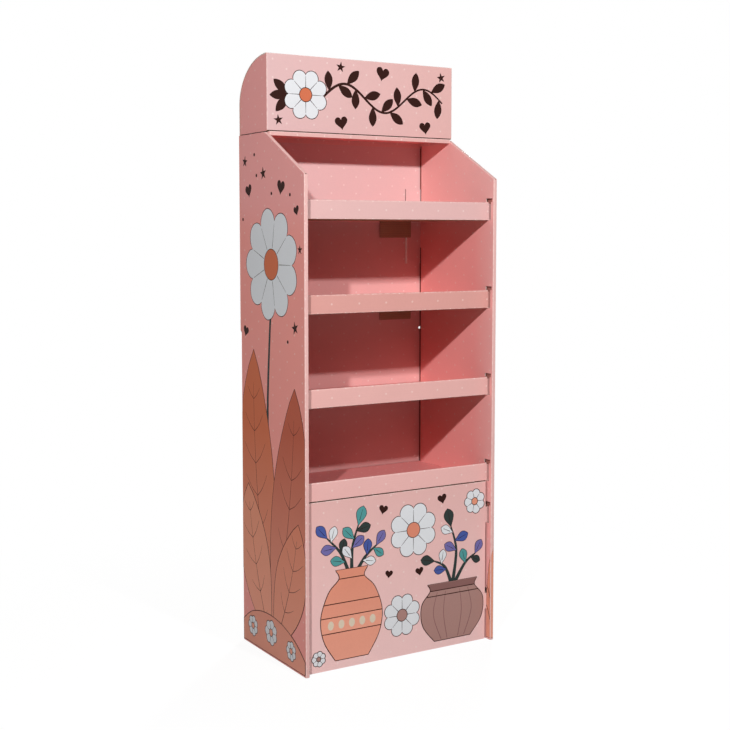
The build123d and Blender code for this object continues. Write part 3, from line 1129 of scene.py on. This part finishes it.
GARLAND_ENDS = (-124, 262)
GARLAND_LEVEL = 100
GARLAND_SWING = 36
GARLAND_WAVES = 1.5
GARLAND_WIDTHS = (7.5, 4.5)
GARLAND_STEPS = 24
GARLAND_LEAVES = 14
SPRAY_LENGTH = 54
SPRAY_HALF_WIDTH = 12.5
SPRAY_ANGLE = 56
SIDE_SPRAY = (-230, 98)
SIDE_SPRAY_TIPS = ((-276, 136), (-288, 94), (-270, 52))
HEADER_FLOWER = ((-180, 100), 66, 8, "terracotta", 3)
HEADER_HEARTS = (((-70, 32), 40, 10), ((62, 172), 42, -12), ((204, 30), 38, 8))
HEADER_STARS = (((-262, 30), 30, 8), ((-72, 180), 30, -8), ((258, 172), 30, 12))


def spray_leaf(sheet, panel, base, tip, layer):
    """Plain dark leaf."""
    _, outline = blade(base, tip, SPRAY_HALF_WIDTH, 0.0, SPRAY_FULLNESS, 14)
    sheet.fill(panel, outline, "line_brown", layer)


def garland(sheet, panel):
    """Wavy stem with leaves on both sides by turns."""
    start, end = GARLAND_ENDS

    def spot(share):
        wave = math.sin(math.tau * GARLAND_WAVES * share)
        return start + (end - start) * share, GARLAND_LEVEL + GARLAND_SWING * wave

    stem = [spot(step / GARLAND_STEPS) for step in range(GARLAND_STEPS + 1)]
    sheet.draw(panel, stem, GARLAND_WIDTHS, 0)
    for place in range(GARLAND_LEAVES):
        share = (place + 0.6) / GARLAND_LEAVES
        here, ahead = Vector(spot(share)), Vector(spot(share + 0.01))
        lean = math.atan2(ahead.y - here.y, ahead.x - here.x)
        way = 1 if place % 2 == 0 else -1
        tip = around(here, SPRAY_LENGTH, lean + way * math.radians(SPRAY_ANGLE))
        spray_leaf(sheet, panel, here, tip, 1)


header_print = Print("header_print")
header_face = Panel((0, header_front_y, roof_high.z), (1, 0, 0), -HEADER_HALF, HEADER_HALF)
garland(header_print, header_face)
for layer, tip in enumerate(SIDE_SPRAY_TIPS):
    spray_leaf(header_print, header_face, SIDE_SPRAY, tip, layer)
header_print.flower(header_face, *HEADER_FLOWER)
header_print.scatter(header_face, heart, HEADER_HEARTS)
header_print.scatter(header_face, star, HEADER_STARS)
header_print.lay()


# Floor, light and camera

WHITE = (1.0, 1.0, 1.0, 1.0)
FLOOR_HALF = 12.0
FLOOR_DROP = 0.3 * MM
# The grey that lights the stand, and the brightness that shows as white beside the shadow
FLOOR_GREY = (0.45, 0.45, 0.45, 1.0)
FLOOR_SHOWN = (1.32, 1.32, 1.32, 1.0)
SHADOW_NEAR = 0.4
SHADOW_FAR = 1.6
WHITE_UNDER_SHADOW = 0.92
SURROUND_COLOUR = (1.0, 0.95, 0.94, 1.0)
SURROUND_STRENGTH = 0.055

# Name, place, size in metres and power in watts
LAMPS = (
    ("front_lamp", (0.1, -2.92, 2.54), 0.1, 48.0),
    ("left_lamp", (-2.6, -2.69, 2.52), 0.1, 99.0),
    ("rear_lamp", (2.4, 2.6, 2.3), 0.6, 100.0),
)
LAMP_AIM = Vector((0.0, 0.0, 0.8))

CAMERA_PLACE = (-1.7782, -2.9262, 1.1377)
CAMERA_TILT = -4.651
CAMERA_TURN = -31.158
CAMERA_LENS = 61.12
CAMERA_SHIFT = -0.04


def seen_as_background(tree):
    """Mask of the rays that see the background: from the camera, in gloss or through clear things."""
    path = tree.node("ShaderNodeLightPath").outputs
    return tree.either(path["Is Camera Ray"], path["Is Glossy Ray"], path["Is Transmission Ray"])


def floor_material():
    """White floor that keeps a soft shadow."""
    material = bpy.data.materials.new("studio_floor")
    material.use_nodes = True
    tree = Tree(material.node_tree)
    seen = seen_as_background(tree)
    paper_colour = tree.blend(seen, FLOOR_SHOWN, FLOOR_GREY)
    paper = tree.node("ShaderNodeBsdfDiffuse", {"Color": paper_colour}).outputs[0]
    white = tree.node("ShaderNodeEmission", {"Color": WHITE, "Strength": 1.0}).outputs[0]
    spot = tree.node("ShaderNodeTexCoord").outputs["Object"]
    reach = tree.node("ShaderNodeVectorMath", {0: spot}, operation="LENGTH").outputs["Value"]
    white_share = tree.range(reach, SHADOW_NEAR, SHADOW_FAR, WHITE_UNDER_SHADOW, 1.0, smooth=True)
    surface = tree.mix_shaders(tree.times(seen, white_share), white, paper)
    tree.node("ShaderNodeOutputMaterial", {"Surface": surface})
    return material


def make_floor():
    data = bpy.data.meshes.new("floor")
    corners = [(FLOOR_HALF * x, FLOOR_HALF * y, 0) for x, y in ((-1, -1), (1, -1), (1, 1), (-1, 1))]
    data.from_pydata(corners, [], [(0, 1, 2, 3)])
    data.materials.append(floor_material())
    floor = bpy.data.objects.new("floor", data)
    floor.location.z = -FLOOR_DROP
    scene.collection.objects.link(floor)


def make_world():
    """Even light from all round, seen as white."""
    world = bpy.data.worlds.new("studio")
    scene.world = world
    world.use_nodes = True
    tree = Tree(world.node_tree)
    surround = {"Color": SURROUND_COLOUR, "Strength": SURROUND_STRENGTH}
    light = tree.node("ShaderNodeBackground", surround).outputs[0]
    white = tree.node("ShaderNodeBackground", {"Color": WHITE, "Strength": 1.0}).outputs[0]
    surface = tree.mix_shaders(seen_as_background(tree), white, light)
    tree.node("ShaderNodeOutputWorld", {"Surface": surface})


def make_lamp(name, place, size, power):
    lamp = bpy.data.lights.new(name, "AREA")
    lamp.shape = "DISK"
    lamp.size = size
    lamp.energy = power
    holder = bpy.data.objects.new(name, lamp)
    holder.location = place
    holder.rotation_euler = (LAMP_AIM - Vector(place)).to_track_quat("-Z", "Y").to_euler()
    scene.collection.objects.link(holder)


def make_camera():
    camera = bpy.data.cameras.new("camera")
    camera.lens = CAMERA_LENS
    camera.shift_y = CAMERA_SHIFT
    holder = bpy.data.objects.new("camera", camera)
    holder.location = CAMERA_PLACE
    holder.rotation_euler = (math.radians(90 + CAMERA_TILT), 0.0, math.radians(CAMERA_TURN))
    scene.collection.objects.link(holder)
    scene.camera = holder


make_floor()
make_world()
for lamp_values in LAMPS:
    make_lamp(*lamp_values)
make_camera()
bpy.context.scene.view_settings.view_transform = "Standard"
